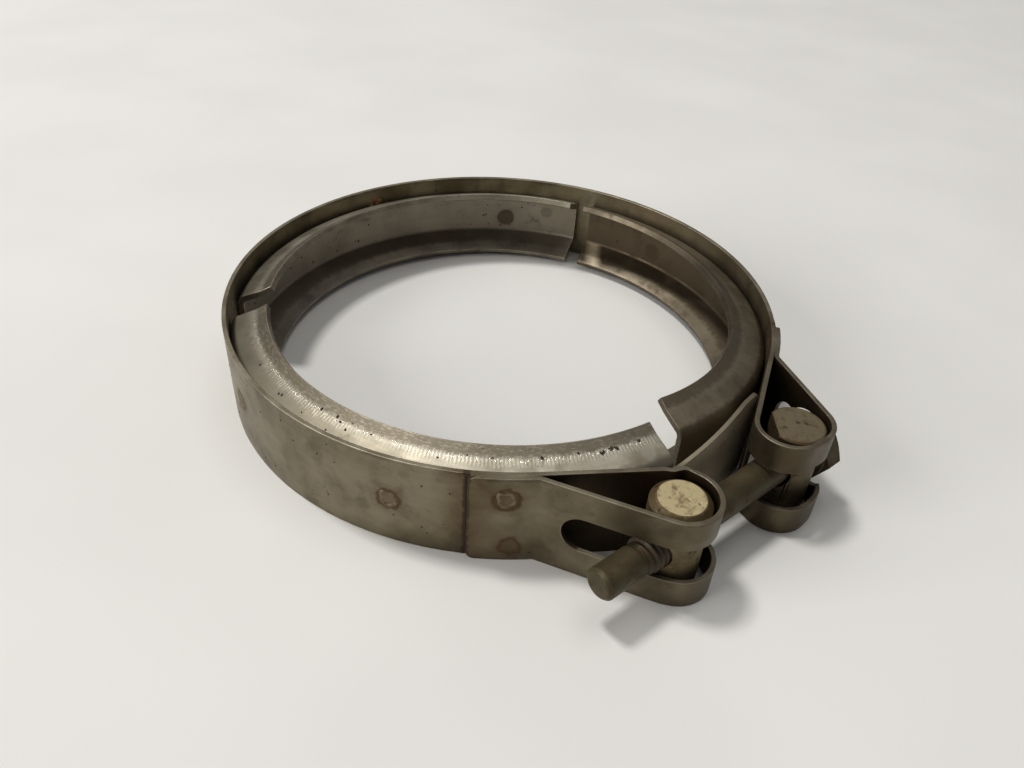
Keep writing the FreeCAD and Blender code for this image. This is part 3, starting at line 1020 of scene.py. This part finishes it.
@dataclass
class RingMarks:
    """Marks laid on a round or coned face of the ring.

    A mark's place is its length round the face from +Y towards +X, its length up the face and
    its height off it; lean is the way that up runs in the plane of radius and height, where 90
    is an outer face and -90 an inner one.
    """

    name: str
    mark: Mark
    finish: SteelFinish
    slot: str
    radius: float
    height: float
    lean: float
    places: tuple[tuple[float, float], ...] = ()
    count: int = 0
    angles: tuple[float, float] = (0.0, 0.0)
    spread: tuple[float, float] = (0.0, 0.0)
    mark_size: tuple[float, float, float] = (1.0, 1.0, 1.0)
    scales: tuple[float, float] = (0.8, 1.2)
    turns: tuple[float, float] = (0.0, 0.0)
    seed: int = 1
    body: str = CLAMP_BODY

    def round_length(self, angle: float) -> float:
        """Turn an angle into a length round the face.

        Args:
            angle: the angle, in degrees from +X.

        Returns:
            The length from +Y towards +X, in metres.
        """
        return math.remainder(math.radians(90 - angle), math.tau) * self.radius * MM

    def weld_lip(self, recipe: Recipe) -> Term:
        """The shape of one weld's lip, from a grid turned round its middle.

        Args:
            recipe: the marks' tree.

        Returns:
            The lip, flat at the origin.
        """
        size = recipe.size("Mark Radius", self.mark_size[0] * MM)
        lip = recipe.size("Lip Height", self.mark_size[2] * MM)
        grid = recipe.node("GeometryNodeMeshGrid", {}, {
            "Size X": 1.0, "Size Y": 1.0, "Vertices X": 65, "Vertices Y": 9,
        })
        u, v, _ = recipe.split(recipe.node("GeometryNodeInputPosition"))
        turn = u * math.tau
        share = 0.62 + (v + 0.5) * 0.38
        arch = 1.0 - (v * 2.0) ** 2.0
        uneven = recipe.node("ShaderNodeTexNoise", {"noise_dimensions": "2D"}, {
            "Vector": recipe.join(turn.math("COSINE"), turn.math("SINE"), 0.0),
            "Scale": 1.1, "Detail": 0.0,
        })
        reach = size * share * (0.55 + uneven * 0.9)
        rise = lip * (arch * (uneven * 2.4 - 0.4) - 0.15)
        place = recipe.join(reach * turn.math("COSINE"), reach * turn.math("SINE"), rise)
        return recipe.node("GeometryNodeSetPosition", {}, {0: grid, "Position": place})

    def small_shape(self, recipe: Recipe) -> Term:
        """The shape of one nick or grain: a flattened ball.

        Args:
            recipe: the marks' tree.

        Returns:
            The ball, at the origin.
        """
        if self.mark is Mark.NICK:
            ball = recipe.node("GeometryNodeMeshUVSphere", {}, {
                "Segments": 6, "Rings": 4, "Radius": 1.0,
            })
        else:
            ball = recipe.node("GeometryNodeMeshIcoSphere", {}, {"Radius": 1.0, "Subdivisions": 2})
        size = [recipe.size(f"Mark {axis}", value * MM)
                for axis, value in zip("XYZ", self.mark_size)]
        x, y, z = recipe.split(recipe.node("GeometryNodeInputPosition"))
        place = recipe.join(x * size[0], y * size[1], z * size[2])
        return recipe.node("GeometryNodeSetPosition", {}, {0: ball, "Position": place})

    def scattered(self, recipe: Recipe) -> Term:
        """Points strewn over the marks' part of the face.

        Args:
            recipe: the marks' tree.

        Returns:
            The points, on the flat.
        """
        seed = recipe.size("Seed", self.seed, "NodeSocketInt")
        ends = sorted(self.round_length(angle) for angle in self.angles)
        low = recipe.join(recipe.size("Start Round", ends[0]),
                          recipe.size("Start Up", self.spread[0] * MM), 0.0)
        high = recipe.join(recipe.size("End Round", ends[1]),
                           recipe.size("End Up", self.spread[1] * MM), 0.0)
        chance = recipe.node("FunctionNodeRandomValue", {"data_type": "FLOAT_VECTOR"}, {
            0: low, 1: high, "Seed": seed,
        })
        count = recipe.size("Count", self.count, "NodeSocketInt")
        return recipe.node("GeometryNodePoints", {}, {"Count": count, "Position": chance})

    def wrapped(self, recipe: Recipe, flat: Term) -> Term:
        """Bend flat geometry on to the face.

        Args:
            recipe: the marks' tree.
            flat: the geometry, with its length along X, up the face along Y and off it along Z.

        Returns:
            The geometry on the face.
        """
        radius = recipe.size("Face Radius", self.radius * MM)
        height = recipe.size("Face Height", self.height * MM)
        lean = math.radians(self.lean)
        length, up, off = recipe.split(recipe.node("GeometryNodeInputPosition"))
        out = radius + up * math.cos(lean) + off * math.sin(lean)
        turn = length / radius
        rise = height + up * math.sin(lean) - off * math.cos(lean)
        place = recipe.join(out * turn.math("SINE"), out * turn.math("COSINE"), rise)
        bent = recipe.node("GeometryNodeSetPosition", {}, {0: flat, "Position": place})
        return recipe.node("GeometryNodeFlipFaces", {}, {0: bent})

    def build(self) -> bpy.types.Object:
        """Make the marks.

        Returns:
            The marks as one piece, riding on their body.
        """
        recipe = Recipe(self.name)
        is_weld = self.mark is Mark.WELD
        shape = self.weld_lip(recipe) if is_weld else self.small_shape(recipe)
        points = self.scattered(recipe) if self.count else recipe.given()
        seed = recipe.size("Turn Seed", self.seed + TURN_SEED_STEP, "NodeSocketInt")
        turn = recipe.node("FunctionNodeRandomValue", {"data_type": "FLOAT"}, {
            2: math.radians(self.turns[0]), 3: math.radians(self.turns[1]), "Seed": seed,
        }, out=1)
        scale = recipe.node("FunctionNodeRandomValue", {"data_type": "FLOAT"}, {
            2: self.scales[0], 3: self.scales[1], "Seed": seed,
        }, out=1)
        spun = recipe.node("FunctionNodeEulerToRotation", {}, {0: recipe.join(0.0, 0.0, turn)})
        strewn = recipe.node("GeometryNodeInstanceOnPoints", {}, {
            "Points": points, "Instance": shape, "Rotation": spun,
            "Scale": recipe.join(scale, scale, scale),
        })
        real = recipe.node("GeometryNodeRealizeInstances", {}, {0: strewn})
        smooth = recipe.node("GeometryNodeSetShadeSmooth", {}, {0: self.wrapped(recipe, real)})
        corners = [Vector((self.round_length(angle), up * MM, 0)) for angle, up in self.places]
        piece = recipe.grow(self.name, smooth, self.finish, corners)
        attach(piece, self.body)
        return piece


# ---- sub-assemblies ------------------------------------------------------------------------


@dataclass
class CrimpedStrap(RoundedSolid):
    """The strap, with the small crimp where the near loop's inner strand meets its round.

    Lengths are in millimetres along the strand from its root; the dent goes towards the pin.
    """

    root: tuple[float, float] = (-27.85, -42.72)
    run: tuple[float, float] = (0.840, -0.543)
    inward: tuple[float, float] = (-0.543, -0.840)
    dent: tuple[float, float, float] = (19.7, 0.85, 0.30)
    swell: tuple[float, float, float] = (21.7, 0.75, 0.34)
    cuts: tuple[float, float, float] = (17.6, 23.4, 0.4)
    reach: float = 1.3

    def wave(self, along: float) -> float:
        """How far the sheet goes towards the pin.

        Args:
            along: the length along the strand, in millimetres.

        Returns:
            How far, in millimetres.
        """
        hump = [size * math.exp(-(((along - at) / wide) ** 2)) for at, wide, size in
                (self.dent, self.swell)]
        return hump[0] - hump[1]

    def reshape(self, work: bmesh.types.BMesh) -> None:
        """Cut the strand across and push the cuts into the crimp's shape.

        Args:
            work: the copy of the strap's mesh.
        """
        root = Vector((*self.root, 0)) * MM
        run, inward = Vector((*self.run, 0)), Vector((*self.inward, 0))
        end = self.cuts[1] + CRIMP_MARGIN

        def is_near(vert: bmesh.types.BMVert) -> bool:
            """Whether a corner lies on the crimped strand."""
            away = vert.co - root
            is_along = -1.0 < away.dot(run) / MM < end
            return is_along and abs(away.dot(inward) / MM) < self.reach

        low, high, step = self.cuts
        for number in range(round((high - low) / step) + 1):
            faces = [face for face in work.faces if all(is_near(vert) for vert in face.verts)]
            edges = {edge for face in faces for edge in face.edges}
            verts = {vert for face in faces for vert in face.verts}
            place = root + run * ((low + number * step) * MM)
            bmesh.ops.bisect_plane(work, geom=[*verts, *edges, *faces], dist=CUT_TOLERANCE,
                                   plane_co=place, plane_no=run)
        for vert in work.verts:
            if is_near(vert):
                vert.co += inward * (self.wave((vert.co - root).dot(run) / MM) * MM)


@dataclass
class Strap:
    """The slotted strap with its loops, welds and the dirt on it."""

    lip_height: float = 0.09
    weld_radius: float = 1.25

    def welds(self, name: str, spots: tuple[Spot, ...], radius: float) -> RingMarks:
        """The lips of the welds on one face.

        Args:
            name: the piece's name.
            spots: where the welds are.
            radius: the face's radius.

        Returns:
            The marks.
        """
        places = tuple((spot.angle, spot.height) for spot in spots)
        size = (self.weld_radius, self.weld_radius, self.lip_height)
        return RingMarks(name, Mark.WELD, WELD_FINISH, "strap_sheet", radius, 0.0, 90.0,
                         places=places, mark_size=size, turns=(-90, 90), seed=3)

    def build(self) -> None:
        """Make the strap's pieces."""
        CrimpedStrap("strap", "strap_sheet_body", "strap_sheet", CLAMP_BODY, STRAP_FACE_FINISH,
                     STRAP_EDGE_FINISH, 0.13, EdgeRule.RIMS).build()
        self.welds("band_weld_rings", BAND_WELDS, BAND_FACE).build()
        self.welds("tab_weld_rings", TAB_WELDS[::2], TAB_FACE).build()
        RingMarks("strap_dirt_grains", Mark.GRAIN, GRIT_FINISH, "strap_sheet", BAND_FACE, 0.0,
                  90.0, count=34, angles=(-134.0, 150.0), spread=(-7.8, 7.8),
                  mark_size=(0.13, 0.1, 0.05), scales=(0.5, 1.5), turns=(-90, 90),
                  seed=11).build()
        RingMarks("band_rust_blisters", Mark.GRAIN, RUST_FINISH, "strap_sheet", BAND_BACK, 0.0,
                  -90.0, count=20, angles=(84.6, 87.6), spread=(-6.5, -4.5),
                  mark_size=(0.46, 0.36, 0.2), scales=(0.5, 1.3), turns=(-90, 90),
                  seed=4).build()


@dataclass
class Retainers:
    """The three V-section retainers, the marks of their forming tool and their dirt."""

    knee_radius: float = 45.41
    knee_height: float = 6.51
    flank_lean: float = 158.0
    finishes: tuple[tuple[str, SteelFinish, SteelFinish], ...] = (
        ("retainer_left", RETAINER_FACE_FINISH, RETAINER_EDGE_FINISH),
        ("retainer_back", RETAINER_FACE_FINISH, RETAINER_EDGE_FINISH),
        ("retainer_right", DARK_RETAINER_FINISH, DARK_EDGE_FINISH),
    )

    def on_flank(self, name: str, mark: Mark, finish: SteelFinish, **sizes) -> RingMarks:
        """Marks on the upper flank, measured up from the bend towards the lip.

        Args:
            name: the piece's name.
            mark: the kind of mark.
            finish: the marks' finish.
            sizes: the marks' other sizes.

        Returns:
            The marks, not yet made.
        """
        return RingMarks(name, mark, finish, "retainer_sheet", self.knee_radius,
                         self.knee_height, self.flank_lean, **sizes)

    def build(self) -> None:
        """Make the retainers' pieces."""
        for name, face, edge in self.finishes:
            RoundedSolid(name, name + "_sheet", "retainer_sheet", CLAMP_BODY, face, edge, 0.16,
                         EdgeRule.SHEET_ENDS).build()
        self.on_flank("flank_tool_marks", Mark.NICK, NICK_FINISH, count=420,
                      angles=(-207.0, -100.0), spread=(-0.6, 0.1), turns=(-25, 25),
                      mark_size=(0.05, 0.3, 0.018), scales=(0.5, 1.2), seed=5).build()
        self.on_flank("flank_dirt_grains", Mark.GRAIN, GRIT_FINISH, count=26,
                      angles=(-208.0, -100.0), spread=(-3.2, 0.6), turns=(-90, 90),
                      mark_size=(0.2, 0.15, 0.07), scales=(0.5, 1.8), seed=8).build()
        self.on_flank("flank_dirt_clump", Mark.GRAIN, GRIT_FINISH, count=40,
                      angles=(-110.2, -106.6), spread=(-0.6, 1.3), turns=(-90, 90),
                      mark_size=(0.24, 0.12, 0.05), scales=(0.4, 1.4), seed=21).build()
        RingMarks("back_web_dirt_grains", Mark.GRAIN, GRIT_FINISH, "retainer_sheet", WEB_FACE,
                  0.0, -90.0, count=34, angles=(32.0, 140.0), spread=(-3.6, 3.6),
                  mark_size=(0.2, 0.14, 0.07), scales=(0.4, 1.6), turns=(-90, 90),
                  seed=14).build()


@dataclass
class TurnedBolt(RoundedSolid):
    """The bolt: its threaded length is cut down to the thread's root under the turns."""

    thread_radius: float = 2.95
    root_radius: float = 2.45
    line_y: float = -57.5

    def reshape(self, work: bmesh.types.BMesh) -> None:
        """Draw the threaded length's corners in to the root.

        Args:
            work: the copy of the bolt's mesh.
        """
        for vert in work.verts:
            away = Vector((0, vert.co.y - self.line_y * MM, vert.co.z))
            if abs(away.length - self.thread_radius * MM) < ROOT_TOLERANCE:
                inner = away * (self.root_radius / self.thread_radius)
                vert.co.y = self.line_y * MM + inner.y
                vert.co.z = inner.z


@dataclass
class Closure:
    """The leaf over the gap, the two cross pins and the bolt."""

    def build(self) -> None:
        """Make the closure's pieces."""
        RoundedSolid("gap_leaf", "gap_leaf_sheet", "leaf_sheet", CLAMP_BODY, LEAF_FACE_FINISH,
                     LEAF_EDGE_FINISH, 0.1, EdgeRule.ALL_ROUND).build()
        RoundedSolid("threaded_trunnion", "threaded_trunnion_pin", "trunnion_near", CLAMP_BODY,
                     NEAR_PIN_FINISH, PIN_EDGE_FINISH, 0.14).build()
        RoundedSolid("plain_trunnion", "plain_trunnion_pin", "trunnion_far", CLAMP_BODY,
                     FAR_PIN_FINISH, PIN_EDGE_FINISH, 0.14).build()
        TurnedBolt("bolt", "bolt_body", "bolt_steel", BOLT_BODY, BOLT_FINISH, BOLT_FINISH,
                   0.12).build()
        ThreadTurns().build()


# ---- studio --------------------------------------------------------------------------------


@dataclass(frozen=True)
class Lamp:
    """A soft square lamp that faces the clamp."""

    name: str
    place: tuple[float, float, float]
    side: float
    watts: float

    def build(self) -> None:
        """Put the lamp up."""
        data = bpy.data.lights.new(self.name, "AREA")
        data.size = self.side
        data.energy = self.watts
        lamp = bpy.data.objects.new(self.name, data)
        bpy.context.scene.collection.objects.link(lamp)
        lamp.location = self.place
        lamp.rotation_mode = "QUATERNION"
        lamp.rotation_quaternion = Vector(self.place).to_track_quat("Z", "Y")


@dataclass
class Studio:
    """The floor, the lamps, the sky and the camera."""

    floor_height: float = -0.00853
    floor_side: float = 3.0
    floor_colour: Colour = (0.74, 0.72, 0.675)
    sky_colour: Colour = (0.97, 0.97, 1.0)
    sky_strength: float = 0.22
    camera_place: tuple[float, float, float] = (-0.08910, -0.10351, 0.09067)
    camera_dip: float = 37.522
    camera_roll: float = 3.961
    camera_way: tuple[float, float] = (0.6691, 0.7431)
    focal_length: float = 29.33
    lamps: tuple[Lamp, ...] = (
        Lamp("key", (-0.27, 0.66, 1.68), 0.28, 17.5),
        Lamp("top", (0.34, -0.06, 1.60), 0.75, 4.0),
        Lamp("fill", (-1.08, 0.32, 0.50), 0.7, 9.0),
    )

    def floor(self) -> None:
        """Lay the floor: its own colour under the light, with a slow mottle."""
        half = self.floor_side / 2
        corners = [(-half, -half), (half, -half), (half, half), (-half, half)]
        mesh = bpy.data.meshes.new("floor")
        mesh.from_pydata([(x, y, self.floor_height) for x, y in corners], [], [(0, 1, 2, 3)])
        paint = Paint("floor_paint")
        mottle = paint.grain(60.0, 2.0)
        darker = tuple(0.95 * part for part in self.floor_colour)
        colour = paint.mix(mottle.rise(0.3, 0.7), self.floor_colour, darker)
        rough = 0.8 + mottle * 0.1
        mesh.materials.append(paint.close(colour, 0.0, rough, paint.grain(0.5) * 0.002))
        linked("floor", mesh)

    def sky(self) -> None:
        """Set the plain sky."""
        world = bpy.data.worlds.new("studio sky")
        world.use_nodes = True
        shade = world.node_tree.nodes["Background"]
        shade.inputs["Color"].default_value = (*self.sky_colour, 1.0)
        shade.inputs["Strength"].default_value = self.sky_strength
        bpy.context.scene.world = world

    def camera(self) -> None:
        """Stand the camera at its place."""
        dip = math.radians(self.camera_dip)
        roll = math.radians(self.camera_roll)
        way_x, way_y = self.camera_way
        ahead = Vector((way_x * math.cos(dip), way_y * math.cos(dip), -math.sin(dip)))
        right = Vector((way_y, -way_x, 0))
        up = right.cross(ahead)
        right, up = (
            math.cos(roll) * right + math.sin(roll) * up,
            math.cos(roll) * up - math.sin(roll) * right,
        )
        data = bpy.data.cameras.new("camera")
        data.lens = self.focal_length
        data.clip_start = 0.005
        camera = bpy.data.objects.new("camera", data)
        bpy.context.scene.collection.objects.link(camera)
        turned = Matrix((right, up, -ahead)).transposed().to_4x4()
        camera.matrix_world = Matrix.Translation(self.camera_place) @ turned
        bpy.context.scene.camera = camera

    def build(self) -> None:
        """Set the whole studio up."""
        self.floor()
        self.sky()
        self.camera()
        for lamp in self.lamps:
            lamp.build()
        bpy.context.scene.view_settings.view_transform = "Standard"


def main() -> None:
    """Build the clamp and its studio."""
    logging.basicConfig(level=logging.INFO, format="%(name)s: %(message)s")
    Studio().build()
    Strap().build()
    Retainers().build()
    Closure().build()


if __name__ == "__main__":
    main()
